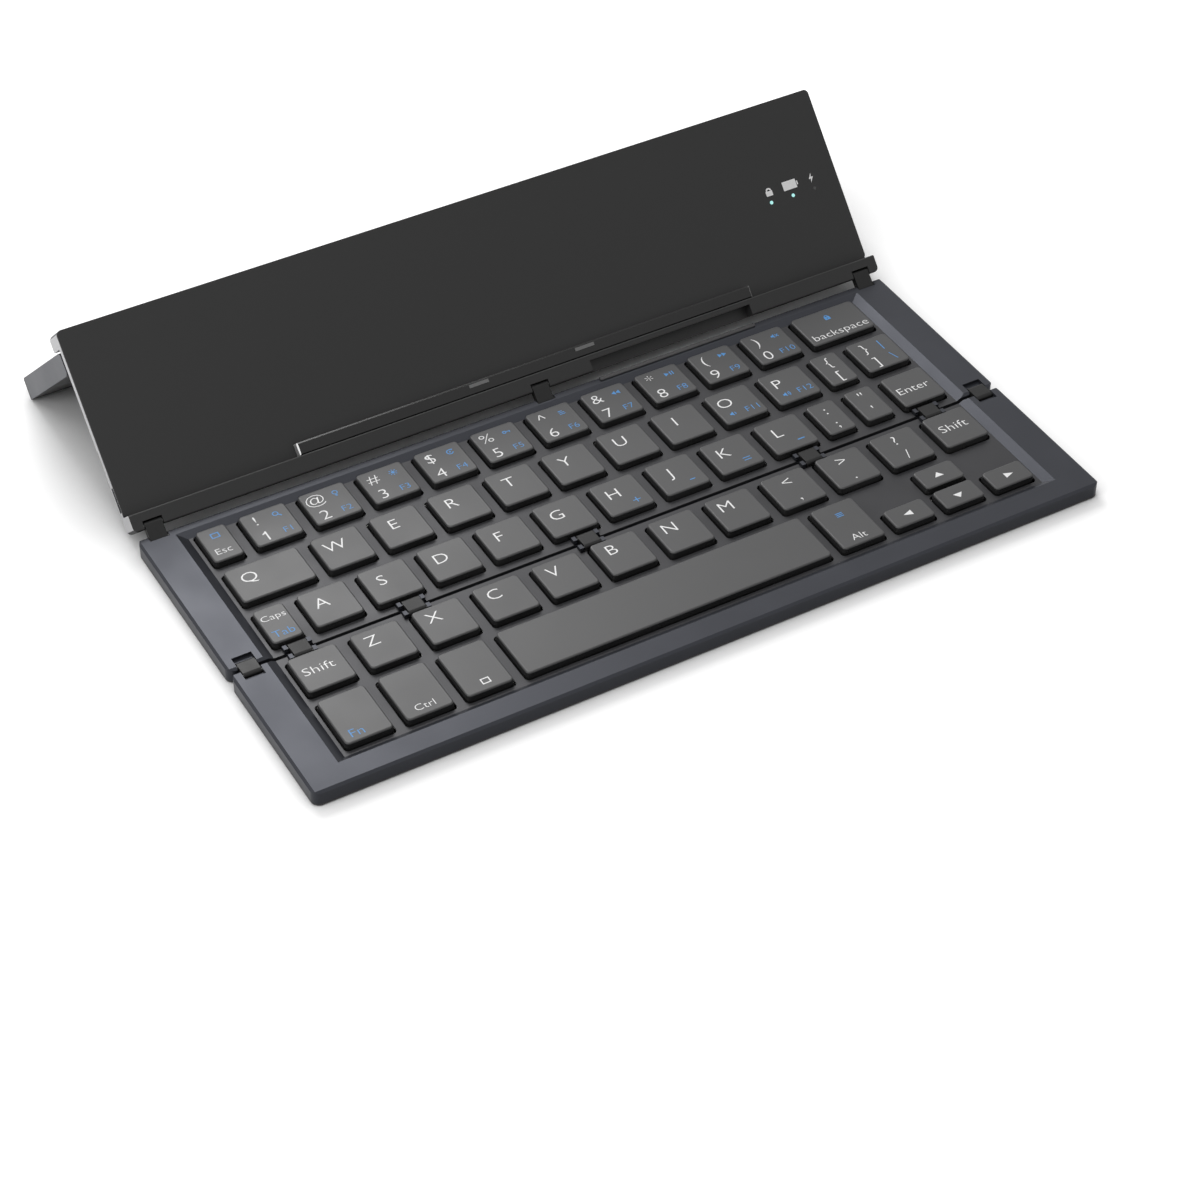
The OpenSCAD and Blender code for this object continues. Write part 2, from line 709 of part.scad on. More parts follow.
module rear_shell() {
  color(deck_color) lift() leaning() difference() {
    intersection() {
      along_x(rear_outline(), -half_w, half_w);
      rounded_plate(-half_w, half_w, s_low, face_h, -ridge_d - 1, bar_proud + 1, rear_corner_r);
    }
    box(-half_w + rear_rim, half_w - rear_rim, 0.8, face_h - rear_rim, inside_d0, inside_d1 + 1);
    // Notch in the hinge bar
    box(notch_x0, notch_x1, s_low - 1, -1.7, 1, bar_proud + 1);
    for (x = rear_link_xs) {
      rear_link_room(x);
      pin_bore(x, rear_pin_s, rear_pin_d);
    }
    // Charging port's opening in the left end
    box(-half_w - 1, -half_w + rear_rim + 1, port_h - port_w / 2, port_h + port_w / 2,
        inside_d0, inside_d0 + port_t);
    // Finger slots at the edge of the closed kickstand
    for (x = [-half_w + finger_slot_inset, 0, half_w - finger_slot_inset])
      box(x - finger_slot_w / 2, x + finger_slot_w / 2, s_low - 1, s_low + finger_slot_in,
          -plate_t - 1, -plate_t + finger_slot_t);
    box(-half_w - 1, -half_w + finger_slot_in, end_slot_s, end_slot_s + end_slot_len,
        -plate_t - 1, -plate_t + finger_slot_t);
    bracket_screw_shapes(0);
  }
}

module light_holes(r, d0, d1) {
  for (i = [-1:1]) translate([lights_x + i * lights_pitch, lights_h, d0]) cylinder(r = r, h = d1 - d0);
}

module rear_face() {
  color([0.2, 0.2, 0.2]) lift() leaning() difference() {
    rounded_plate(-half_w, half_w, 0, face_h, -face_t, 0, rear_corner_r);
    light_holes(light_r + light_clear, -face_t - 1, 1);
    box(rest_x0, rest_x1, -1, rest_h, -rest_seat, 1);
  }
}

light_r = 0.55;
light_clear = 0.05;
module light_pipes() {
  color("white") lift() leaning() light_holes(light_r, board_top, 0);
}

module battery() {
  color("lightgray") lift() leaning()
    box(battery_x - battery_len / 2, battery_x + battery_len / 2, battery_s - battery_w / 2,
        battery_s + battery_w / 2, inside_d0, inside_d0 + battery_t);
}

module circuit_board() {
  color("darkgreen") lift() leaning() {
    box(board_x0, board_x1, board_s0, board_s1, inside_d0, board_top);
    box(board_tab_x, board_x1, board_s1 - eps, board_tab_s, inside_d0, board_top);
  }
}

module charging_port() {
  s0 = port_h - port_w / 2;
  s1 = port_h + port_w / 2;
  color("silver") lift() leaning() difference() {
    box(-half_w + 0.2, board_x0, s0, s1, inside_d0, inside_d0 + port_t);
    box(-half_w - 1, -half_w + port_len, s0 + port_wall, s1 - port_wall, inside_d0 + port_wall,
        inside_d0 + port_t - port_wall);
  }
}

// Rail with two small pads, its back let into the face panel
rest_edge = 0.4;
pad_xs = [-12, 23.7];
pad_w = 6.4;
pad_h = 1;
pad_t = 0.25;
pad_drop = 1.6;

module phone_rest_rail() {
  color([0.07, 0.07, 0.07]) lift() leaning() {
    cut_block(rest_x0, rest_x1, 0, rest_h, 0, rest_d, rest_edge, rest_edge);
    box(rest_x0, rest_x1, 0, rest_h - rest_seat, -rest_seat, eps);
    for (x = pad_xs) translate([x - pad_w / 2, rest_h - pad_drop, rest_d - eps]) cube([pad_w, pad_h, pad_t]);
  }
}

// Ears on the back of the rear section that carry the kickstand
bracket_foot_t = 0.7;
bracket_foot_len = 12;
bracket_screw_s = kick_axis_s - 8.5;
bracket_screw_r = 0.6;
bracket_screw_len = 0.5;
ear_end_clear = 0.3;

module kickstand_brackets() {
  color(dark_color) lift() leaning() for (side = [-1, 1]) {
    x0 = side * bracket_x - bracket_w / 2;
    difference() {
      union() {
        box(x0, x0 + bracket_w, kick_axis_s - bracket_foot_len, kick_axis_s,
            -plate_t - bracket_foot_t, -plate_t);
        box(x0, x0 + bracket_w, kick_axis_s - ear_r, kick_axis_s + ear_r, kick_axis_d, -plate_t);
        rod_x(x0, x0 + bracket_w, kick_axis_s, kick_axis_d, ear_r);
      }
      rod_x(x0 - 1, x0 + bracket_w + 1, kick_axis_s, kick_axis_d, kick_pin_r + pin_clear);
      translate([side * bracket_x, bracket_screw_s, -plate_t - 3]) cylinder(r = bracket_screw_r, h = 4);
    }
  }
}

module bracket_screw_shapes(head) {
  for (side = [-1, 1]) translate([side * bracket_x, bracket_screw_s, -plate_t - bracket_foot_t - head]) {
    cylinder(r = bracket_screw_r, h = bracket_foot_t + head + bracket_screw_len);
    if (head > 0) cylinder(r = bracket_screw_r + 0.6, h = head);
  }
}

module bracket_screws() {
  color("gray") lift() leaning() bracket_screw_shapes(0.5);
}

// ---- kickstand ----

// From the kickstand's frame, drawn closed round its hinge, to the sections' frame
module opened() {
  translate([0, kick_axis_y, kick_axis_z]) rotate([kick_dir, 0, 0]) children();
}

// End view of the kickstand grown inwards by a wall
module kick_profile(wall) {
  half = kick_t / 2 - wall;
  circle(half);
  translate([-kick_len + kick_foot_t + wall, -half]) square([kick_len - kick_foot_t - wall, 2 * half]);
}

module kick_slab(x0, x1, wall) {
  translate([x0, 0, 0]) rotate([90, 0, 90]) linear_extrude(x1 - x0) kick_profile(wall);
}

kick_foot_t = 1.6;
kick_inner_d = kick_t / 2;
kick_cavity_s0 = -kick_len + kick_foot_t + kick_wall;
room_half = bracket_w / 2 + 0.5;

// The space that the brackets need as the kickstand turns
module bracket_room() {
  for (side = [-1, 1]) {
    x0 = side * bracket_x - room_half;
    rod_x(x0, x0 + 2 * room_half, 0, 0, ear_r + ear_end_clear);
    box(x0, x0 + 2 * room_half, -bracket_foot_len - 1, ear_r + ear_end_clear, 0, kick_t);
    box(x0, x0 + 2 * room_half, 0, kick_t, -ear_r - 2, kick_t);
    box(x0, x0 + 2 * room_half, -ear_r - ear_end_clear, 0, 0, kick_t);
  }
}

module kickstand_shell() {
  color(deck_color) lift() opened() difference() {
    intersection() {
      kick_slab(-half_w, half_w, 0);
      union() {
        box(-half_w, half_w, -kick_len, kick_t / 2 - kick_end_set_back, -kick_t, kick_t);
        box(-kick_end_x, kick_end_x, -kick_len, kick_t, -kick_t, kick_t);
      }
    }
    // Hollow, with two ribs
    for (b = [[-half_w + kick_wall, -kick_rib_x], [-kick_rib_x + kick_wall, kick_rib_x - kick_wall],
              [kick_rib_x, half_w - kick_wall]])
      box(b[0], b[1], kick_cavity_s0, -ear_r - 2, -kick_t / 2 + kick_wall, kick_inner_d + 1);
    // Seat of the inner cover
    box(-half_w + kick_wall / 2, half_w - kick_wall / 2, kick_cavity_s0 - kick_wall / 2, -ear_r - 1.4,
        kick_inner_d - kick_cover_t, kick_inner_d + 1);
    bracket_room();
    for (side = [-1, 1]) kick_pin(side);
  }
}

module kickstand_cover() {
  color(dark_color) lift() opened() difference() {
    box(-half_w + kick_wall / 2 + seat_clear, half_w - kick_wall / 2 - seat_clear,
        kick_cavity_s0 - kick_wall / 2 + seat_clear, -ear_r - 1.4 - seat_clear,
        kick_inner_d - kick_cover_t, kick_inner_d);
    bracket_room();
  }
}

kick_pin_seat = 3;
module kick_pin(side) {
  x = side * bracket_x;
  half = room_half + kick_pin_seat;
  rod_x(x - half, x + half, 0, 0, kick_pin_r);
}

module kickstand_pins() {
  color("silver") lift() opened() for (side = [-1, 1]) kick_pin(side);
}

module kickstand_foot() {
  color("black") lift() opened() translate([-half_w + 0.2, 0, 0]) rotate([90, 0, 90])
    linear_extrude(body_w - 0.4) difference() {
      union() {
        for (side = [-1, 1])
          translate([-kick_len + kick_foot_r, side * (kick_t / 2 - kick_foot_r)]) circle(kick_foot_r);
        translate([-kick_len, -kick_t / 2 + kick_foot_r]) square([kick_foot_t, kick_t - 2 * kick_foot_r]);
        translate([-kick_len + kick_foot_r, -kick_t / 2]) square([kick_foot_t - kick_foot_r, kick_t]);
      }
    }
}

// ---- keys ----

// A hollow key cap with a stem, and tabs at its sides that stay under the grid
module key_cap(k) {
  x0 = k[1] - k[3] / 2;
  x1 = k[1] + k[3] / 2;
  y0 = k[2] - k[4] / 2;
  y1 = k[2] + k[4] / 2;
  spread = key_spread;
  in = key_wall;
  tab_reach = spread + key_gap + tab_w;
  difference() {
    union() {
      cut_block(x0, x1, y0, y1, well_floor, key_proud, key_r, key_edge, spread);
      rounded_plate(x0 - spread, x1 + spread, y0 - spread, y1 + spread, key_bottom, well_floor + eps, key_r);
      box(x0 - tab_reach, x1 + tab_reach, k[2] - tab_d / 2, k[2] + tab_d / 2, key_bottom, tab_top);
    }
    box(x0 + in, x1 - in, y0 + in, y1 - in, key_bottom - 1, key_proud - key_cap_t);
  }
  translate([k[1], k[2], stem_bottom]) cylinder(r = stem_r, h = key_proud - key_cap_t - stem_bottom + eps);
}

module keys(group) {
  color([0.24, 0.24, 0.25]) lift() for (k = concat(MID_KEYS, FRONT_KEYS)) if (k[0] == group) key_cap(k);
}

mid_frame();
mid_key_grid();
mid_dome_sheet();
mid_membrane();
mid_support_plate();
mid_bottom_cover();
mid_feet();
mid_screws();
cable_cover();
front_frame();
front_key_grid();
front_dome_sheet();
front_membrane();
front_support_plate();
front_bottom_cover();
front_feet();
front_screws();
front_hinge_links();
front_hinge_pins_mid();
front_hinge_pins_front();
rear_hinge_links();
rear_hinge_pins_mid();
rear_hinge_pins_rear();
rear_shell();
rear_face();
battery();
circuit_board();
light_pipes();
charging_port();
phone_rest_rail();
kickstand_brackets();
bracket_screws();
kickstand_shell();
kickstand_cover();
kickstand_pins();
kickstand_foot();
keys("esc_key");  // esc_key
keys("number_keys_left");  // number_keys_left
keys("number_keys_right");  // number_keys_right
keys("backspace_key");  // backspace_key
keys("letter_keys_q_to_t");  // letter_keys_q_to_t
keys("letter_keys_y_to_p");  // letter_keys_y_to_p
keys("punctuation_keys");  // punctuation_keys
keys("caps_key");  // caps_key
keys("letter_keys_a_to_g");  // letter_keys_a_to_g
keys("letter_keys_h_to_l");  // letter_keys_h_to_l
keys("enter_key");  // enter_key
keys("left_shift_key");  // left_shift_key
keys("letter_keys_z_to_b");  // letter_keys_z_to_b
keys("letter_keys_n_to_slash");  // letter_keys_n_to_slash
keys("right_shift_key");  // right_shift_key
keys("fn_key");  // fn_key
keys("ctrl_key");  // ctrl_key
keys("command_key");  // command_key
keys("space_bar");  // space_bar
keys("alt_key");  // alt_key
keys("left_arrow_key");  // left_arrow_key
keys("up_arrow_key");  // up_arrow_key
keys("down_arrow_key");  // down_arrow_key
keys("right_arrow_key");  // right_arrow_key
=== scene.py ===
import bmesh
import bpy
import json
import math
from mathutils import Matrix, Vector


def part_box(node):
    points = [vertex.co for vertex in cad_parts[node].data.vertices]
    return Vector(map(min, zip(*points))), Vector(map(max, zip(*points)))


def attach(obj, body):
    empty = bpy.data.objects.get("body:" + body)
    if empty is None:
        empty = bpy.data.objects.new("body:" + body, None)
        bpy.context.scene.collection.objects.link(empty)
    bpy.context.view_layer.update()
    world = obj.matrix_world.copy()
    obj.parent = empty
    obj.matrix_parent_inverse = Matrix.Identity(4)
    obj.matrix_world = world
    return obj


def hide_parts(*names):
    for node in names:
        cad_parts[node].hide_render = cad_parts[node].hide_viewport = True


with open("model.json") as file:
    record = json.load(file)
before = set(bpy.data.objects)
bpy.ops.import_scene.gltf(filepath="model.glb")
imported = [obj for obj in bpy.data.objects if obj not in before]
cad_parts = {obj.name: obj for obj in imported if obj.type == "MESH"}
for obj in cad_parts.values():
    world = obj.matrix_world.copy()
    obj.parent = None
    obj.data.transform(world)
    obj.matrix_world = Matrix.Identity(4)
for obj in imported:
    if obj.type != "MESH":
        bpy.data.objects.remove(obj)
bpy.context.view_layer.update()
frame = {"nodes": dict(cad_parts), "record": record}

# ---- Deck frames of the middle and front sections ----
# Each section has a milled aluminium frame, bead-blasted and anodised dark grey. Its edges are cut with a
# fine chamfer, its key well slopes down to the grid, and screws hold the bottom cover under it.
mm = 0.001
crease_angle = math.radians(20)
flat_angle = math.radians(0.5)
merge_reach = 0.002 * mm
eased_steps = 2
eased_profile = 0.6
noise_low, noise_high = 0.3, 0.7
patch_scale = 60
smoothest = 0.02
deck_grey = (0.038, 0.040, 0.048, 1)


def shader_of(material):
    return material.node_tree.nodes["Principled BSDF"]


def shader_node(nodes, kind, **values):
    """A new shader node with its inputs set by name."""
    made = nodes.new(kind)
    for name, value in values.items():
        made.inputs[name.replace("_", " ")].default_value = value
    return made


def finish(name, colour, rough, metal=0.0, grain=4000, stretch=(1, 1, 1), shade=0.12,
           rough_spread=0.06, bump=0.15, depth=0.01 * mm, coat=0.0, specular=0.5):
    """A surface with a fine grain, slow changes of shade and an uneven gloss."""
    material = bpy.data.materials.new(name)
    material.use_nodes = True
    nodes, links = material.node_tree.nodes, material.node_tree.links
    shader = shader_of(material)
    shader.inputs["Metallic"].default_value = metal
    shader.inputs["Specular IOR Level"].default_value = specular
    shader.inputs["Coat Weight"].default_value = coat
    shader.inputs["Coat Roughness"].default_value = 0.1
    place = shader_node(nodes, "ShaderNodeTexCoord")
    where = shader_node(nodes, "ShaderNodeMapping", Scale=stretch)
    slow = shader_node(nodes, "ShaderNodeTexNoise", Scale=patch_scale, Detail=3)
    fine = shader_node(nodes, "ShaderNodeTexNoise", Scale=grain, Detail=2)
    both = shader_node(nodes, "ShaderNodeMix", Factor=0.5)
    tone = shader_node(nodes, "ShaderNodeValToRGB")
    dark_tone, light_tone = tone.color_ramp.elements
    dark_tone.position, light_tone.position = noise_low, noise_high
    dark_tone.color = tuple(c * (1 - shade) for c in colour[:3]) + (1,)
    light_tone.color = tuple(min(1, c * (1 + shade)) for c in colour[:3]) + (1,)
    gloss = shader_node(nodes, "ShaderNodeMapRange", From_Min=noise_low, From_Max=noise_high,
                        To_Min=max(smoothest, rough - rough_spread), To_Max=min(1, rough + rough_spread))
    relief = shader_node(nodes, "ShaderNodeBump", Strength=bump, Distance=depth)
    for output, input_socket in (
            (place.outputs["Object"], where.inputs["Vector"]),
            (where.outputs["Vector"], slow.inputs["Vector"]),
            (where.outputs["Vector"], fine.inputs["Vector"]),
            (slow.outputs["Fac"], both.inputs["A"]),
            (fine.outputs["Fac"], both.inputs["B"]),
            (both.outputs["Result"], tone.inputs["Fac"]),
            (tone.outputs["Color"], shader.inputs["Base Color"]),
            (slow.outputs["Fac"], gloss.inputs["Value"]),
            (gloss.outputs["Result"], shader.inputs["Roughness"]),
            (fine.outputs["Fac"], relief.inputs["Height"]),
            (relief.outputs["Normal"], shader.inputs["Normal"])):
        links.new(output, input_socket)
    return material


def crease(bm):
    """Smooth shading with a crease wherever two faces meet at a real edge."""
    for face in bm.faces:
        face.smooth = True
    for edge in bm.edges:
        edge.smooth = edge.is_manifold and edge.calc_face_angle() < crease_angle


def new_object(name, data):
    """An object at the origin, linked to the scene."""
    made = bpy.data.objects.new(name, data)
    bpy.context.scene.collection.objects.link(made)
    return made


def evaluated_mesh(maker):
    """The plain mesh that an object shows once its modifiers have run."""
    depsgraph = bpy.context.evaluated_depsgraph_get()
    return bpy.data.meshes.new_from_object(maker.evaluated_get(depsgraph), depsgraph=depsgraph)


def evened(piece):
    """Normals weighted by area, so that flats stay flat beside rounded edges."""
    modifier = piece.modifiers.new("evened", "WEIGHTED_NORMAL")
    modifier.keep_sharp = True
    mesh = evaluated_mesh(piece)
    piece.modifiers.clear()
    piece.data = mesh
    return piece


def stand_for(piece, node):
    """The piece takes the place and the body of a CAD node, whose own part is hidden."""
    bodies = frame["record"]["behaviour"]["bodies"]
    body = next(name for name, members in bodies.items() if node in members)
    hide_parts(node)
    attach(piece, body)


def merged(node):
    """A closed copy of a CAD node's loose triangles."""
    bm = bmesh.new()
    bm.from_mesh(frame["nodes"][node].data)
    bmesh.ops.remove_doubles(bm, verts=bm.verts, dist=merge_reach)
    return bm


def surfaced(node, *materials, ease=0.0, shortest=1.2 * mm, pick=None):
    """A copy of a solid, its edges eased from the shortest length up. pick gives each face its material."""
    bm = merged(node)
    if ease:
        bmesh.ops.dissolve_limit(bm, angle_limit=flat_angle, verts=bm.verts, edges=bm.edges)
        sharp = [edge for edge in bm.edges if edge.is_manifold and edge.calc_length() > shortest
                 and edge.calc_face_angle() > crease_angle]
        bmesh.ops.bevel(bm, geom=sharp, offset=ease, segments=eased_steps, profile=eased_profile,
                        affect="EDGES", clamp_overlap=False)
        bmesh.ops.triangulate(bm, faces=[face for face in bm.faces if len(face.verts) > 4])
    crease(bm)
    if pick:
        for face in bm.faces:
            face.material_index = pick(face.calc_center_median(), face.normal)
    mesh = bpy.data.meshes.new(node + "_surfaced")
    bm.to_mesh(mesh)
    bm.free()
    for material in materials:
        mesh.materials.append(material)
    stand_for(evened(new_object(node + "_surfaced", mesh)), node)


anodised = finish("anodised_deck", deck_grey, 0.36, metal=0.55, grain=5000, shade=0.06,
                  rough_spread=0.04, bump=0.12, specular=0.3)
for deck in ("mid_frame", "front_frame"):
    surfaced(deck, anodised)

# ---- Key grids ----
# A thin pressed sheet fills each key well, painted a dark grey close to the deck's, with a window for every key.
# It lies on the frame's ledge and holds the keys down by their tabs.
grid_grey = (0.042, 0.042, 0.045, 1)
grid_paint = finish("grid_paint", grid_grey, 0.4, metal=0.4, grain=4500, shade=0.08, bump=0.15, specular=0.3)
for grid in ("mid_key_grid", "front_key_grid"):
    surfaced(grid, grid_paint)

# ---- Keys ----
# Low key caps moulded in dark grey plastic: a flat matt top that is painted, with a soft edge, and glossy black
# sides that spread towards the grid. Each stands on a dome and is held by tabs under the grid.
cap_grey = (0.05, 0.05, 0.051, 1)
side_black = (0.014, 0.014, 0.014, 1)
print_white = (0.86, 0.86, 0.86, 1)
print_blue = (0.07, 0.27, 0.6, 1)
cap_top = finish("key_top_paint", cap_grey, 0.42, grain=7000, shade=0.07, rough_spread=0.03, bump=0.2)
cap_side = finish("key_side_gloss", side_black, 0.26, grain=2500, shade=0.3, rough_spread=0.05, bump=0.04)
white = finish("white_ink", print_white, 0.5, grain=6000, shade=0.05, bump=0.1)
blue = finish("blue_ink", print_blue, 0.5, grain=6000, shade=0.08, bump=0.1)

key_round = 1.3 * mm
key_spread = 0.3 * mm
key_edge = 0.5 * mm
key_ceiling = 0.9 * mm
key_tab = 0.85 * mm
key_tab_depth = 4 * mm
key_stem = 1.5 * mm
key_stem_lift = 0.25 * mm
key_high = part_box("esc_key")[1].z
key_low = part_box("esc_key")[0].z
grid_low, grid_high = (corner.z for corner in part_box("mid_key_grid"))
tab_gap = 0.25 * mm
tab_high = grid_low - tab_gap
corner_steps = 6
stem_sides = 24
quarter_handle = 0.55
weld_reach = 0.01 * mm


def cap_tree():
    """A hollow key cap: a flat top with a soft edge, a side that spreads to the skirt, a stem and two tabs."""
    tree = bpy.data.node_groups.new("key_cap", "GeometryNodeTree")
    for name in ("Width", "Depth", "Corner", "Edge", "Spread", "Top", "Foot", "Bottom", "Ceiling",
                 "Stem radius", "Stem foot", "Tab reach", "Tab depth", "Tab top"):
        tree.interface.new_socket(name, in_out="INPUT", socket_type="NodeSocketFloat").default_value = mm
    steps = tree.interface.new_socket("Arc steps", in_out="INPUT", socket_type="NodeSocketInt")
    steps.default_value = corner_steps
    for name in ("Top finish", "Side finish"):
        tree.interface.new_socket(name, in_out="INPUT", socket_type="NodeSocketMaterial")
    tree.interface.new_socket("Geometry", in_out="OUTPUT", socket_type="NodeSocketGeometry")
    nodes, links = tree.nodes, tree.links
    inputs = nodes.new("NodeGroupInput").outputs

    def node(kind, values=(), **settings):
        made = nodes.new(kind)
        for key, value in settings.items():
            setattr(made, key, value)
        for name, value in values:
            if hasattr(value, "node"):
                links.new(value, made.inputs[name])
            else:
                made.inputs[name].default_value = value
        return made

    def maths(operation, a, b):
        return node("ShaderNodeMath", ((0, a), (1, b)), operation=operation).outputs[0]

    def plus(a, b):
        return maths("ADD", a, b)

    def minus(a, b):
        return maths("SUBTRACT", a, b)

    def times(a, b):
        return maths("MULTIPLY", a, b)

    def point(x=0.0, y=0.0, z=0.0):
        return node("ShaderNodeCombineXYZ", (("X", x), ("Y", y), ("Z", z))).outputs[0]

    def together(*parts):
        made = nodes.new("GeometryNodeJoinGeometry")
        for part in parts:
            links.new(part.outputs[0], made.inputs[0])
        return made

    def moved(part, x=0.0, y=0.0, z=0.0):
        return node("GeometryNodeTransform", (("Geometry", part.outputs[0]), ("Translation", point(x, y, z))))

    inset = times(inputs["Edge"], 2.0)
    outline = node("GeometryNodeCurvePrimitiveQuadrilateral",
                   (("Width", minus(inputs["Width"], inset)), ("Height", minus(inputs["Depth"], inset))))
    rounded = node("GeometryNodeFilletCurve",
                   (("Curve", outline.outputs[0]), ("Count", inputs["Arc steps"]),
                    ("Radius", minus(inputs["Corner"], inputs["Edge"]))), mode="POLY")
    flat = node("GeometryNodeFillCurve", (("Curve", rounded.outputs[0]),), mode="NGONS")
    edge_low = minus(inputs["Top"], inputs["Edge"])
    handle = times(inputs["Edge"], quarter_handle)
    foot_out = plus(inputs["Edge"], inputs["Spread"])
    edge = node("GeometryNodeCurvePrimitiveBezierSegment",
                (("Resolution", inputs["Arc steps"]), ("Start", point(0.0, inputs["Top"])),
                 ("Start Handle", point(handle, inputs["Top"])),
                 ("End Handle", point(inputs["Edge"], plus(edge_low, handle))),
                 ("End", point(inputs["Edge"], edge_low))))

    def line(x0, y0, x1, y1):
        return node("GeometryNodeCurvePrimitiveLine", (("Start", point(x0, y0)), ("End", point(x1, y1))))

    profile = together(line(0.0, inputs["Bottom"], 0.0, inputs["Ceiling"]),
                       line(foot_out, inputs["Bottom"], 0.0, inputs["Bottom"]),
                       line(foot_out, inputs["Foot"], foot_out, inputs["Bottom"]),
                       line(inputs["Edge"], edge_low, foot_out, inputs["Foot"]))

    def swept(part):
        """A profile carried round the outline, which takes a profile's Y downwards."""
        upright = node("GeometryNodeTransform", (("Geometry", part.outputs[0]), ("Scale", (1, -1, 1))))
        return node("GeometryNodeCurveToMesh",
                    (("Curve", rounded.outputs[0]), ("Profile Curve", upright.outputs[0])))

    stem_high = minus(inputs["Ceiling"], inputs["Stem foot"])
    stem = node("GeometryNodeMeshCylinder",
                (("Vertices", stem_sides), ("Radius", inputs["Stem radius"]), ("Depth", stem_high)))
    stem = moved(stem, z=plus(inputs["Stem foot"], times(stem_high, 0.5)))
    tab_length = plus(inputs["Spread"], inputs["Tab reach"])
    tab_tall = minus(inputs["Tab top"], inputs["Bottom"])
    tab = node("GeometryNodeMeshCube", (("Size", point(tab_length, inputs["Tab depth"], tab_tall)),))
    tab_x = times(plus(inputs["Width"], tab_length), 0.5)
    tab_z = plus(inputs["Bottom"], times(tab_tall, 0.5))
    tabs = (moved(tab, x=tab_x, z=tab_z), moved(tab, x=times(tab_x, -1.0), z=tab_z))
    dark = together(swept(profile), moved(flat, z=inputs["Ceiling"]), stem, *tabs)
    painted = node("GeometryNodeSetMaterial",
                   (("Geometry", together(swept(edge), moved(flat, z=inputs["Top"])).outputs[0]),
                    ("Material", inputs["Top finish"])))
    sides = node("GeometryNodeSetMaterial",
                 (("Geometry", dark.outputs[0]), ("Material", inputs["Side finish"])))
    welded = node("GeometryNodeMergeByDistance",
                  (("Geometry", together(sides, painted).outputs[0]), ("Distance", weld_reach)))
    real = node("GeometryNodeRealizeInstances", (("Geometry", welded.outputs[0]),))
    links.new(real.outputs[0], nodes.new("NodeGroupOutput").inputs[0])
    return tree


key_cap = cap_tree()


def from_tree(tree, **values):
    """The plain mesh that a tree makes from named sizes."""
    maker = new_object("maker", bpy.data.meshes.new("maker"))
    modifier = maker.modifiers.new("maker", "NODES")
    modifier.node_group = tree
    names = {item.name: item.identifier for item in tree.interface.items_tree if item.in_out == "INPUT"}
    for name, value in values.items():
        modifier[names[name.replace("_", " ")]] = value
    mesh = evaluated_mesh(maker)
    maker.modifiers.clear()
    bpy.data.objects.remove(maker)
    return mesh


def cap_mesh(width, depth):
    return from_tree(key_cap, Width=width, Depth=depth, Corner=key_round, Edge=key_edge, Spread=key_spread,
                     Top=key_high, Foot=grid_high, Bottom=key_low, Ceiling=key_high - key_ceiling,
                     Stem_radius=key_stem, Stem_foot=key_low + key_stem_lift, Tab_reach=key_tab,
                     Tab_depth=key_tab_depth, Tab_top=tab_high, Top_finish=cap_top, Side_finish=cap_side)


def solids(node):
    """The separate solids of a CAD node as (lowest, highest) corners, from left to right."""
    bm = merged(node)
    found, seen = [], set()
    for start in bm.verts:
        if start in seen:
            continue
        seen.add(start)
        group, reach = [], [start]
        while reach:
            vert = reach.pop()
            group.append(vert.co.copy())
            for edge in vert.link_edges:
                other = edge.other_vert(vert)
                if other not in seen:
                    seen.add(other)
                    reach.append(other)
        found.append((Vector([min(c[i] for c in group) for i in range(3)]),
                      Vector([max(c[i] for c in group) for i in range(3)])))
    bm.free()
    return sorted(found, key=lambda pair: pair[0].x)


def joined(name, parts, fix_normals=False):
    """One object from several (mesh, matrix) parts, with each material once."""
    mesh = bpy.data.meshes.new(name)
    bm = bmesh.new()
    for part, matrix in parts:
        copy = part.copy()
        copy.transform(matrix)
        for material in filter(None, copy.materials):
            if mesh.materials.find(material.name) < 0:
                mesh.materials.append(material)
        slots = [mesh.materials.find(material.name) if material else 0 for material in copy.materials]
        for polygon in copy.polygons:
            polygon.material_index = slots[polygon.material_index]
        bm.from_mesh(copy)
        bpy.data.meshes.remove(copy)
    if fix_normals:
        bmesh.ops.recalc_face_normals(bm, faces=bm.faces)
    crease(bm)
    bm.to_mesh(mesh)
    bm.free()
    return evened(new_object(name, mesh))


def flat_mesh(curve):
    """The closed mesh of a filled curve or of text."""
    curve.extrude = 0.5
    maker = new_object("maker", curve)
    mesh = evaluated_mesh(maker)
    bpy.data.objects.remove(maker)
    return mesh


def outline_mark(*rings):
    """A flat mark from closed rings of points in millimetres; a ring inside another is a hole."""
    curve = bpy.data.curves.new("mark", "CURVE")
    curve.dimensions = "2D"
    curve.fill_mode = "BOTH"
    for ring in rings:
        spline = curve.splines.new("POLY")
        spline.points.add(len(ring) - 1)
        for point, (x, y) in zip(spline.points, ring):
            point.co = (x, y, 0, 1)
        spline.use_cyclic_u = True
    return flat_mesh(curve)


letter_cache = {}
letter_steps = 3
letter_thinning = -0.012
letter_stretch = 1.12


def letters(text):
    """The mesh of some letters at size 1, with its left and right ends."""
    if text not in letter_cache:
        curve = bpy.data.curves.new("letters", "FONT")
        curve.body = text
        curve.resolution_u = letter_steps
        curve.offset = letter_thinning
        mesh = flat_mesh(curve)
        xs = [v.co.x for v in mesh.vertices]
        letter_cache[text] = mesh, min(xs), max(xs)
    return letter_cache[text]


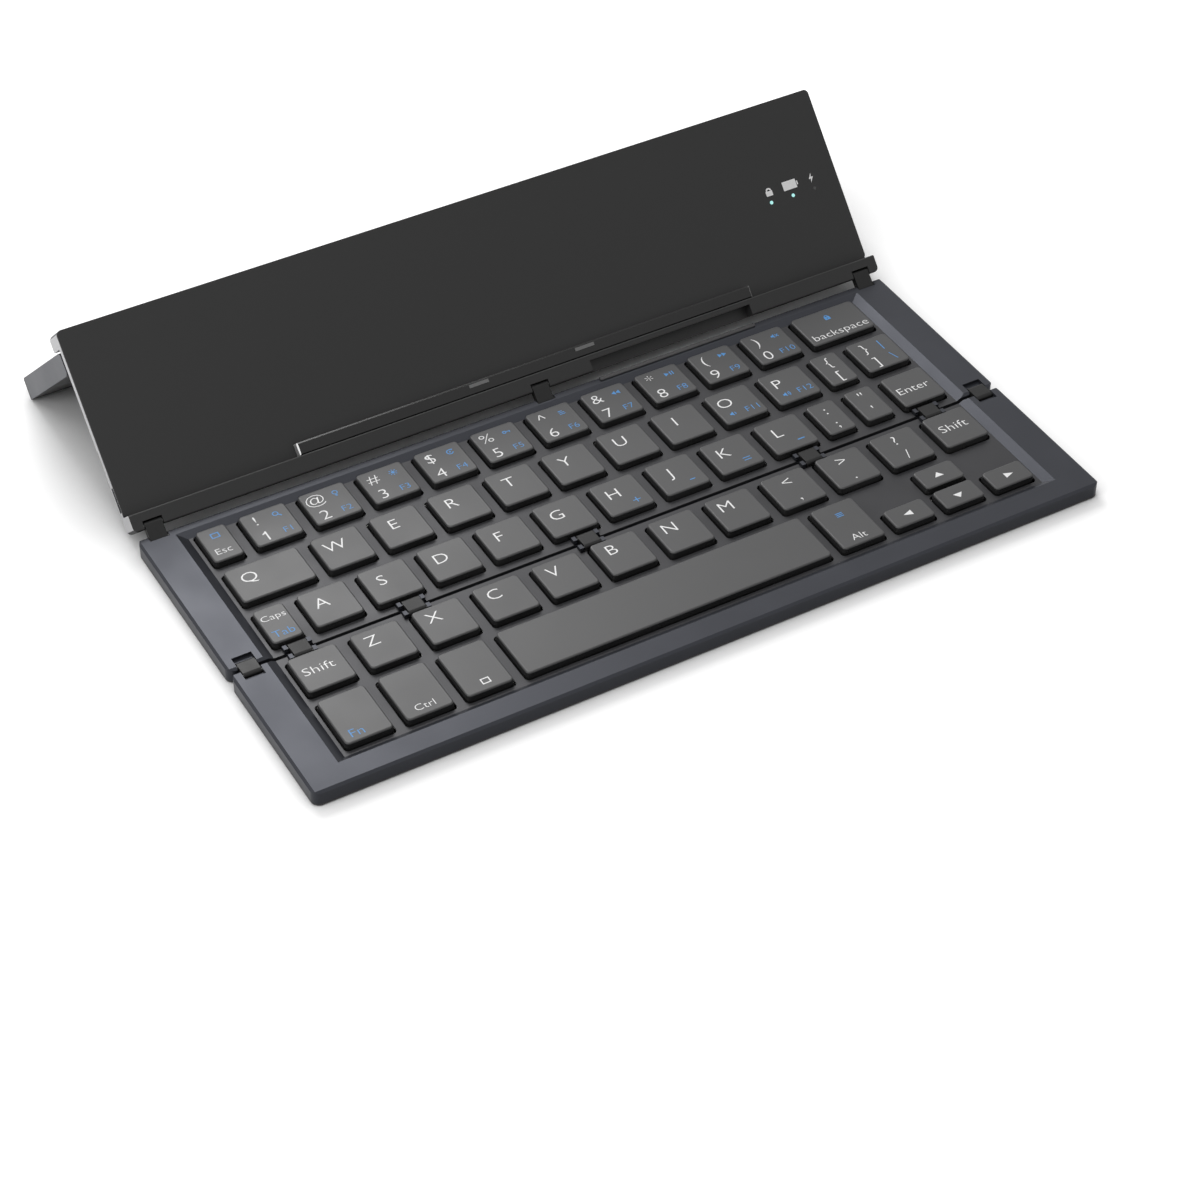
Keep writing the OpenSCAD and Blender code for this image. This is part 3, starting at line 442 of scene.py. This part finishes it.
cap_high = max(v.co.y for v in letters("H")[0].vertices)
one = [(0.3, 0), (0.41, 0), (0.41, 1), (0.32, 1), (0.24, 0.88), (0.1, 0.79), (0.1, 0.69), (0.22, 0.73),
       (0.3, 0.8)]
one_wide = 0.5
letter_cache["1"] = outline_mark([(x * cap_high, y * cap_high) for x, y in one]), 0.0, one_wide * cap_high
ink_thick = 0.03 * mm
ink_sunk = 0.01 * mm


def printed(mesh, ink, x, y, z, wide, high, middle=(0, 0)):
    """A mark put on a surface at z with its middle at x, y. wide and high are the metres to its unit."""
    copy = mesh.copy()
    copy.materials.clear()
    copy.materials.append(ink)
    size = Matrix.Diagonal((wide, high, ink_thick, 1))
    place = Matrix.Translation((x, y, z - ink_sunk + ink_thick / 2)) @ size
    return copy, place @ Matrix.Translation((-middle[0], -middle[1], 0))


def text_mark(text, x, y, z, high, ink, wide=None):
    """Letters with capitals of the given height, their middle at x, y. wide, if given, is their whole width."""
    mesh, left, right = letters(text)
    scale = high / cap_high
    across = wide / (right - left) if wide else letter_stretch * scale
    return printed(mesh, ink, x, y, z, across, scale, ((left + right) / 2, cap_high / 2))


def round_point(x, y, r, angle):
    return x + r * math.cos(angle), y + r * math.sin(angle)


def disc(x, y, r, steps=20):
    return [round_point(x, y, r, 2 * math.pi * i / steps) for i in range(steps)]


def bar(x0, y0, x1, y1, thick):
    along = Vector((x1 - x0, y1 - y0)).normalized() * thick / 2
    side = Vector((-along.y, along.x))
    return [(x0 - side.x, y0 - side.y), (x1 - side.x, y1 - side.y),
            (x1 + side.x, y1 + side.y), (x0 + side.x, y0 + side.y)]


def block(x0, y0, x1, y1):
    return [(x0, y0), (x1, y0), (x1, y1), (x0, y1)]


def arc_band(x, y, r, thick, start, end, steps=8):
    angles = [math.radians(start + (end - start) * i / steps) for i in range(steps + 1)]
    outer = [round_point(x, y, r + thick / 2, angle) for angle in angles]
    inner = [round_point(x, y, r - thick / 2, angle) for angle in reversed(angles)]
    return outer + inner


eighths = [math.pi / 4 * i for i in range(8)]
sound = arc_band(0, 0, 0.7, 0.24, -45, 45)
speaker = [[(-1.1, -0.35), (-0.6, -0.35), (0, -0.95), (0, 0.95), (-0.6, 0.35), (-1.1, 0.35)]]
symbols = {
    "magnifier": [disc(-0.2, 0.25, 0.95), disc(-0.2, 0.25, 0.62), bar(0.5, -0.45, 1.25, -1.2, 0.4)],
    "bulb": [disc(0, 0.3, 0.9), disc(0, 0.3, 0.6), block(-0.4, -1.0, 0.4, -0.7),
             block(-0.3, -1.4, 0.3, -1.15)],
    "sun": [disc(0, 0, 0.55)] + [bar(*round_point(0, 0, 0.8, a), *round_point(0, 0, 1.3, a), 0.28)
                                 for a in eighths],
    "turn": [arc_band(0, 0, 0.95, 0.34, 50, 340, 16), [(0.55, 1.2), (1.25, 0.95), (0.7, 0.35)],
             disc(0, 0, 0.3)],
    "key": [disc(-0.55, 0, 0.65), disc(-0.55, 0, 0.32), bar(0.15, 0, 1.3, 0, 0.32),
            block(0.85, -0.6, 1.15, -0.17)],
    "note": [block(-0.9, -1.05, 0.9, -0.75), block(-0.9, -0.35, 0.9, -0.05), block(-0.9, 0.35, 0.4, 0.65)],
    "back": [[(-1.4, 0), (-0.1, 0.85), (-0.1, -0.85)], [(0, 0), (1.3, 0.85), (1.3, -0.85)]],
    "play": [[(-1.5, 0.8), (-0.2, 0), (-1.5, -0.8)], block(0.15, -0.8, 0.5, 0.8), block(0.95, -0.8, 1.3, 0.8)],
    "ahead": [[(-1.3, 0.85), (0, 0), (-1.3, -0.85)], [(0.1, 0.85), (1.4, 0), (0.1, -0.85)]],
    "mute": speaker + [bar(0.4, -0.55, 1.4, 0.55, 0.26), bar(0.4, 0.55, 0.78, 0.13, 0.26),
                       bar(1.02, -0.13, 1.4, -0.55, 0.26)],
    "quiet": speaker + [sound],
    "loud": speaker + [sound, arc_band(0, 0, 1.25, 0.24, -45, 45)],
    "lock": [block(-0.95, -1.2, 0.95, 0.25), block(-0.15, -0.75, 0.15, -0.25),
             arc_band(0, 0.25, 0.6, 0.28, 0, 180)],
    "square": [block(-1.3, -1.1, 1.3, 1.1), block(-0.95, -0.75, 0.95, 0.75)],
    "menu": [block(-1.1, 0.5, 1.1, 0.8), block(-1.1, -0.15, 1.1, 0.15), block(-1.1, -0.8, 1.1, -0.5)],
    "left": [[(-1.5, 0), (1.3, 1.05), (1.3, -1.05)]],
    "right": [[(1.5, 0), (-1.3, -1.05), (-1.3, 1.05)]],
    "up": [[(0, 1.05), (1.5, -0.85), (-1.5, -0.85)]],
    "down": [[(0, -1.05), (-1.5, 0.85), (1.5, 0.85)]],
    "short_dash": [block(-0.85, -0.17, 0.85, 0.17)],
    "long_dash": [block(-1.15, -0.2, 1.15, 0.2)],
}
symbol_meshes = {name: outline_mark(*rings) for name, rings in symbols.items()}


def symbol_mark(name, x, y, z, ink):
    return printed(symbol_meshes[name], ink, x, y, z, mm, mm)


# The marks of a key, each as (text or symbol, distance of its middle from the key's left edge, from its rear
# edge, height, ink, and for some the whole width). All are in millimetres; a height of None marks a symbol.
letter_tall, sign_tall, function_tall = 3.9, 3.7, 2.2
upper_row, lower_row = 3.95, 10.7


def digit_key(digit, shifted, symbol, function):
    return [(shifted, 3.9, upper_row, 3.8, white), (digit, 3.9, 11.1, letter_tall, white),
            (symbol, 10.4, 3.9, None, blue), (function, 10.7, 11.2, function_tall, blue)]


def letter_key(letter, left, down, *more):
    return [(letter, left, down, letter_tall, white)] + list(more)


def sound_key(letter, symbol, function):
    return letter_key(letter, 4.35, 5.4, (symbol, 4.2, lower_row, None, blue),
                      (function, 10.6, 10.8, function_tall, blue))


def two_mark_key(shifted, plain, left, *more):
    return [(shifted, left, upper_row, sign_tall, white),
            (plain, left, lower_row, sign_tall, white)] + list(more)


key_marks = {
    "esc_key": [[("square", 4.7, 3.8, None, blue), ("Esc", 4.3, 10.6, 2.4, white)]],
    "number_keys_left": [digit_key("1", "!", "magnifier", "F1"), digit_key("2", "@", "bulb", "F2"),
                         digit_key("3", "#", "sun", "F3"), digit_key("4", "$", "turn", "F4"),
                         digit_key("5", "%", "key", "F5")],
    "number_keys_right": [digit_key("6", "^", "note", "F6"), digit_key("7", "&", "back", "F7"),
                          digit_key("8", "*", "play", "F8"), digit_key("9", "(", "ahead", "F9"),
                          digit_key("0", ")", "mute", "F10")],
    "backspace_key": [[("lock", 10.9, 3.9, None, blue), ("backspace", 11.2, 11.3, 2.7, white, 19.2)]],
    "letter_keys_q_to_t": [letter_key(c, 5.65, 5.4) for c in "QWERT"],
    "letter_keys_y_to_p": [letter_key(c, 5.65, 5.4) for c in "YUI"] +
                          [sound_key("O", "quiet", "F11"), sound_key("P", "loud", "F12")],
    "punctuation_keys": [two_mark_key(":", ";", 4.5), two_mark_key("\"", "'", 4.4), two_mark_key("{", "[", 4.6),
                         two_mark_key("}", "]", 4.5, ("|", 10.1, upper_row, 3.4, blue),
                                      ("\\", 10.7, lower_row, 3.4, blue))],
    "caps_key": [[("Caps", 4.45, 4.3, 2.2, white, 7.2), ("Tab", 4.45, 11.2, 2.6, blue)]],
    "letter_keys_a_to_g": [letter_key(c, 5.2, 5.85) for c in "ASDFG"],
    "letter_keys_h_to_l": [letter_key(c, 5.2, 5.85, (mark, 10.0, 11.2, tall, blue))
                           for c, mark, tall in (("H", "+", 3.2), ("J", "short_dash", None), ("K", "=", 3.2),
                                                 ("L", "long_dash", None))],
    "enter_key": [[("Enter", 6.9, 7.7, 2.8, white, 10.6)]],
    "left_shift_key": [[("Shift", 6.4, 6.9, 2.9, white, 9.2)]],
    "letter_keys_z_to_b": [letter_key(c, 4.9, 4.55) for c in "ZXCVB"],
    "letter_keys_n_to_slash": [letter_key(c, 4.9, 4.55) for c in "NM"] +
                              [two_mark_key(*signs, 6.9) for signs in ("<,", ">.", "?/")],
    "right_shift_key": [[("Shift", 6.9, 6.7, 2.9, white, 9.2)]],
    "fn_key": [[("Fn", 4.5, 15.2, 2.9, blue)]],
    "ctrl_key": [[("Ctrl", 6.6, 15.2, 2.3, white)]],
    "command_key": [[("square", 7.0, 15.0, None, white)]],
    "space_bar": [[]],
    "alt_key": [[("Alt", 6.9, 15.2, 2.4, white), ("menu", 6.9, 5.2, None, blue)]],
    "left_arrow_key": [[("left", 6.2, 4.1, None, white)]],
    "up_arrow_key": [[("up", 6.3, 4.1, None, white)]],
    "down_arrow_key": [[("down", 6.3, 4.6, None, white)]],
    "right_arrow_key": [[("right", 6.9, 4.1, None, white)]],
}
cap_cache = {}
for node, marks_of_keys in key_marks.items():
    parts = []
    keys = solids(node)
    if node == "punctuation_keys":
        # Those of the caps row come first, then the two brackets of the row behind it.
        keys.sort(key=lambda pair: (pair[0].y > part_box("caps_key")[1].y, pair[0].x))
    for (low, high), marks in zip(keys, marks_of_keys):
        width = high.x - low.x - 2 * (key_spread + key_tab)
        depth = high.y - low.y - 2 * key_spread
        size = round(width / mm, 2), round(depth / mm, 2)
        if size not in cap_cache:
            cap_cache[size] = cap_mesh(width, depth)
        middle = (low + high) / 2
        parts.append((cap_cache[size], Matrix.Translation((middle.x, middle.y, 0))))
        left, rear = middle.x - width / 2, middle.y + depth / 2
        for mark, across, down, tall, ink, *wide in marks:
            x, y = left + across * mm, rear - down * mm
            if tall is None:
                parts.append(symbol_mark(mark, x, y, key_high, ink))
            else:
                whole = wide[0] * mm if wide else None
                parts.append(text_mark(mark, x, y, key_high, tall * mm, ink, whole))
    stand_for(joined(node + "_caps", parts, fix_normals=True), node)

# ---- Inside the key sections ----
# Under the keys lie a sheet of steel domes, a printed contact film and a plated steel plate, stacked dry in
# the frame and held by the bottom cover. They are cut from thin sheet and hidden when the cover is on.


def resurface(node, material):
    """A new finish on a CAD node that keeps its shape."""
    part = frame["nodes"][node]
    for holder in part.material_slots:
        holder.material = material
    if not part.material_slots:
        part.data.materials.append(material)


brushed = (0.05, 1, 1)
dome_silver = (0.62, 0.62, 0.6, 1)
film_green = (0.52, 0.58, 0.55, 1)
plate_silver = (0.5, 0.52, 0.54, 1)
dome_steel = finish("dome_steel", dome_silver, 0.28, metal=1.0, grain=3000, shade=0.08, bump=0.1)
contact_film = finish("contact_film", film_green, 0.3, grain=900, shade=0.18, bump=0.05, coat=0.4)
plated_steel = finish("plated_steel", plate_silver, 0.34, metal=1.0, grain=2500, stretch=brushed, shade=0.1)
for section in ("mid", "front"):
    resurface(section + "_dome_sheet", dome_steel)
    resurface(section + "_membrane", contact_film)
    resurface(section + "_support_plate", plated_steel)

# ---- Bottom covers, feet and cover screws ----
# Each section is closed underneath by a thin black cover with a fine texture, on which long rubber feet are
# glued. Small blackened screws hold it to the frame.
cover_black = (0.028, 0.028, 0.029, 1)
foot_black = (0.012, 0.012, 0.012, 1)
screw_black = (0.12, 0.12, 0.125, 1)
cover_paint = finish("cover_texture", cover_black, 0.5, grain=3500, shade=0.12, bump=0.35)
foot_rubber = finish("foot_rubber", foot_black, 0.75, grain=2500, shade=0.15, bump=0.3, specular=0.3)
black_steel = finish("blackened_steel", screw_black, 0.35, metal=1.0, grain=2500, shade=0.15, bump=0.1)
for section in ("mid", "front"):
    surfaced(section + "_bottom_cover", cover_paint)
    surfaced(section + "_feet", foot_rubber)
    resurface(section + "_screws", black_steel)

# ---- Cable cover ----
# A narrow pressed strip behind the key well covers the slot through which the sections are wired together.
# It is painted a dark neutral grey and snaps into the middle frame.
strip_grey = (0.05, 0.05, 0.052, 1)
strip_paint = finish("cable_cover_paint", strip_grey, 0.38, metal=0.4, grain=4000, shade=0.08, bump=0.15)
surfaced("cable_cover", strip_paint, ease=0.08 * mm)

# ---- Fold hinges ----
# Short glass-filled black straps, each on two ground steel pins, join the sections at both folds. The pins
# are pressed into the frames and the straps turn on them.
strap_black = (0.01, 0.01, 0.01, 1)
pin_silver = (0.6, 0.6, 0.6, 1)
strap_plastic = finish("strap_plastic", strap_black, 0.4, grain=3000, shade=0.2, bump=0.15, specular=0.25)
pin_steel = finish("pin_steel", pin_silver, 0.22, metal=1.0, grain=3000, stretch=brushed, shade=0.06,
                   bump=0.05)
for fold in ("front", "rear"):
    surfaced(fold + "_hinge_links", strap_plastic, ease=0.1 * mm, shortest=0.5 * mm)
for pins in ("front_hinge_pins_mid", "front_hinge_pins_front", "rear_hinge_pins_mid", "rear_hinge_pins_rear"):
    resurface(pins, pin_steel)

# ---- Rear section ----
# A milled aluminium shell, anodised like the decks, with bright bare ends and a charging socket in one of them.
# A matt black panel with three small lights and their printed marks is let into its face. The bar below the
# panel carries the fold and is painted like it.
lean = math.radians(47)
up_face = Vector((0, math.cos(lean), math.sin(lean)))
out_of_face = Vector((0, -math.sin(lean), math.cos(lean)))
end_silver = (0.55, 0.55, 0.56, 1)
panel_black = (0.02, 0.02, 0.02, 1)
end_metal = finish("bare_ends", end_silver, 0.36, metal=0.6, grain=4000, shade=0.05, bump=0.1)
panel_paint = finish("panel_paint", panel_black, 0.48, grain=5000, shade=0.06, rough_spread=0.03, bump=0.12,
                     specular=0.3)
surfaced("rear_face", panel_paint, ease=0.08 * mm)

face_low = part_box("rear_face")[0]
face_thick = 0.8 * mm
face_origin = Vector((0, face_low.y, face_low.z + face_thick * math.cos(lean)))
end_from = 124.5 * mm
end_facing = 0.9
bar_reach = 0.5 * mm
back_facing = -0.5


def shell_part(centre, normal):
    """The ends are bare, the bar below the panel is painted with it, and the rest is anodised."""
    if abs(normal.x) > end_facing and abs(centre.x) > end_from:
        return 1
    in_bar = (centre - face_origin).dot(up_face) < bar_reach
    return 2 if in_bar and normal.dot(out_of_face) > back_facing else 0


surfaced("rear_shell", anodised, end_metal, panel_paint, pick=shell_part)
on_face = Matrix.Translation(face_origin) @ Matrix.Rotation(lean, 4, "X")
mark_up = 29 * mm
padlock = [block(-1.15, -1.35, 1.15, 0.2), arc_band(0, 0.25, 0.72, 0.5, 0, 180)]
full_cell = [block(-2.6, -1.4, 2.2, 1.4), block(2.4, -0.6, 2.8, 0.6)]
bolt = [[(0.35, 1.5), (-0.85, -0.25), (-0.1, -0.25), (-0.4, -1.5), (0.85, 0.3), (0.1, 0.3)]]
status = []
for x, rings in ((100.6 * mm, padlock), (108.3 * mm, full_cell), (116 * mm, bolt)):
    copy, place = printed(outline_mark(*rings), white, x, mark_up, 0, mm, mm)
    status.append((copy, on_face @ place))
status_marks = joined("status_marks", status)
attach(status_marks, "rear_section")

unlit_from = 112 * mm
light_tint = (0.45, 0.78, 0.76, 1)
glow_tint = (0.3, 0.75, 0.72, 1)
glow_strength = 0.6
unlit_tint = (0.01, 0.01, 0.01, 1)
light_glass = finish("light_guide", light_tint, 0.2, grain=900, shade=0.05, bump=0.02, coat=0.5)
shader_of(light_glass).inputs["Emission Color"].default_value = glow_tint
shader_of(light_glass).inputs["Emission Strength"].default_value = glow_strength
dark_glass = finish("unlit_guide", unlit_tint, 0.15, grain=900, shade=0.2, bump=0.02, coat=0.5)
surfaced("light_pipes", light_glass, dark_glass, pick=lambda centre, normal: int(centre.x > unlit_from))
port_silver = (0.6, 0.6, 0.6, 1)
port_steel = finish("port_steel", port_silver, 0.25, metal=1.0, grain=3000, stretch=(0.1, 1, 1), shade=0.08,
                    bump=0.05)
resurface("charging_port", port_steel)

# ---- Battery and circuit board ----
# A flat foil-wrapped cell and a green board with the lights and the charging socket lie in the rear shell's
# hollow, held by the face panel.
foil_silver = (0.5, 0.51, 0.53, 1)
board_green = (0.02, 0.12, 0.05, 1)
cell_foil = finish("cell_foil", foil_silver, 0.3, metal=0.9, grain=500, shade=0.1, bump=0.4, depth=0.05 * mm)
solder_mask = finish("solder_mask", board_green, 0.35, grain=1200, shade=0.3, bump=0.1, coat=0.3)
resurface("battery", cell_foil)
resurface("circuit_board", solder_mask)

# ---- Rest rail ----
# A glossy black moulded rail fixed along the foot of the panel, with a ledge for what leans there and bright
# ends. Two small grey pads on its front keep the closed sections apart.
rail_black = (0.008, 0.008, 0.008, 1)
rail_silver = (0.5, 0.5, 0.5, 1)
pad_tint = (0.16, 0.16, 0.16, 1)
rail_gloss = finish("rail_gloss", rail_black, 0.2, grain=1500, shade=0.2, bump=0.03, rough_spread=0.03,
                    specular=0.35)
rail_end = finish("rail_end", rail_silver, 0.3, metal=0.5, grain=3000, shade=0.05)
pad_rubber = finish("pad_grey", pad_tint, 0.6, grain=2500, shade=0.1, bump=0.2)
pads_from = 3.01 * mm
rail_end_reach = 0.3 * mm
rail_ends = [corner.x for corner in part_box("phone_rest_rail")]


def rail_part(centre, normal):
    """The pads stand out of the rail's front, and its ends are bright."""
    if (centre - face_origin).dot(out_of_face) > pads_from:
        return 2
    return int(min(abs(centre.x - end) for end in rail_ends) < rail_end_reach)


surfaced("phone_rest_rail", rail_gloss, rail_end, pad_rubber, pick=rail_part)

# ---- Kickstand ----
# A hollow stand with an anodised outer shell, a plastic inner cover and a rubber lip along its foot. It
# turns on two steel pins in small screwed brackets at the top of the rear section.
stand_grey = (0.075, 0.078, 0.09, 1)
stand_metal = finish("stand_anodised", stand_grey, 0.38, metal=0.5, grain=5000, shade=0.06, rough_spread=0.04,
                     bump=0.12)
surfaced("kickstand_brackets", black_steel, ease=0.08 * mm)
resurface("bracket_screws", black_steel)
surfaced("kickstand_shell", stand_metal)
surfaced("kickstand_cover", cover_paint)
resurface("kickstand_pins", pin_steel)
surfaced("kickstand_foot", foot_rubber, ease=0.1 * mm)

# ---- Table, light and camera ----
# A plain white table under soft studio light, with one lamp behind, one at the left and one above. To the
# camera the table is lifted to white except where the piece on it shades it, and the backdrop is white.
# The camera's place was found by fitting it to the decks' corners and the rows of keys.
floor_white = (0.86, 0.86, 0.86, 1)
floor_half = 6.0
floor_lift = 0.42
shade_reach = 0.05
shade_power = 3


def shader_maths(tree, operation, a, b):
    """The result of one sum of two sockets or numbers."""
    made = tree.nodes.new("ShaderNodeMath")
    made.operation = operation
    for place, value in enumerate((a, b)):
        if hasattr(value, "node"):
            tree.links.new(value, made.inputs[place])
        else:
            made.inputs[place].default_value = value
    return made.outputs[0]


floor_mesh = bpy.data.meshes.new("table")
floor_mesh.from_pydata([(x * floor_half, y * floor_half, 0) for x, y in ((-1, -1), (1, -1), (1, 1), (-1, 1))],
                       [], [(0, 1, 2, 3)])
table = new_object("table", floor_mesh)
table_paint = finish("table_paint", floor_white, 0.8, grain=400, shade=0.01, bump=0.0)
paint = table_paint.node_tree
open_sky = shader_node(paint.nodes, "ShaderNodeAmbientOcclusion", Distance=shade_reach)
floor_rays = paint.nodes.new("ShaderNodeLightPath")
unshaded = shader_maths(paint, "POWER", open_sky.outputs["AO"], shade_power)
seen_unshaded = shader_maths(paint, "MULTIPLY", floor_rays.outputs["Is Camera Ray"], unshaded)
floor_glow = shader_maths(paint, "MULTIPLY", seen_unshaded, floor_lift)
shader_of(table_paint).inputs["Emission Color"].default_value = (1, 1, 1, 1)
paint.links.new(floor_glow, shader_of(table_paint).inputs["Emission Strength"])
floor_mesh.materials.append(table_paint)

studio_grey = (0.8, 0.8, 0.8, 1)
studio_strength = 0.32
world = bpy.data.worlds.new("studio")
bpy.context.scene.world = world
world.use_nodes = True
studio = world.node_tree
rays = studio.nodes.new("ShaderNodeLightPath")
seen = rays.outputs["Is Camera Ray"]
for kind in ("Is Glossy Ray", "Is Transmission Ray"):
    seen = shader_maths(studio, "MAXIMUM", seen, rays.outputs[kind])
grey = studio.nodes["Background"]
grey.inputs["Color"].default_value = studio_grey
grey.inputs["Strength"].default_value = studio_strength
backdrop = shader_node(studio.nodes, "ShaderNodeBackground", Color=(1, 1, 1, 1))
either = studio.nodes.new("ShaderNodeMixShader")
studio.links.new(seen, either.inputs[0])
studio.links.new(grey.outputs[0], either.inputs[1])
studio.links.new(backdrop.outputs[0], either.inputs[2])
studio.links.new(either.outputs[0], studio.nodes["World Output"].inputs["Surface"])


def soft_lamp(name, place, aim, side, power):
    """A square lamp of the given side in metres, turned towards aim."""
    light = bpy.data.lights.new(name, "AREA")
    light.shape = "RECTANGLE"
    light.size = light.size_y = side
    light.energy = power
    lamp = new_object(name, light)
    lamp.location = place
    lamp.rotation_euler = (Vector(aim) - Vector(place)).to_track_quat("-Z", "Y").to_euler()


soft_lamp("rear_light", (0.08, 0.95, 0.85), (-0.02, 0, 0.01), 0.6, 8.5)
soft_lamp("left_light", (-1.0, -0.1, 0.5), (0, 0, 0.02), 0.6, 3.5)
soft_lamp("top_light", (-0.3, -0.2, 1.3), (-0.02, 0, 0.02), 0.9, 5.5)

front_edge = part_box("front_bottom_cover")[0].y
camera_place = Vector((-0.3294, front_edge - 0.5026, 0.5638))
camera_right = Vector((0.86749, -0.49745, 0.00117))
camera_down = Vector((-0.33466, -0.58533, -0.73851))
camera_ahead = Vector((0.36806, 0.64026, -0.67424))
sensor = 36
picture_pixels = 1200
focal_pixels = 3020.45
nearest = 0.01
camera_data = bpy.data.cameras.new("camera")
camera_data.sensor_fit = "HORIZONTAL"
camera_data.sensor_width = camera_data.sensor_height = sensor
camera_data.lens = focal_pixels / picture_pixels * sensor
camera_data.clip_start = nearest
camera = new_object("camera", camera_data)
turn = Matrix((camera_right, -camera_down, -camera_ahead)).transposed().to_4x4()
camera.matrix_world = Matrix.Translation(camera_place) @ turn
bpy.context.scene.camera = camera
bpy.context.scene.view_settings.view_transform = "Standard"
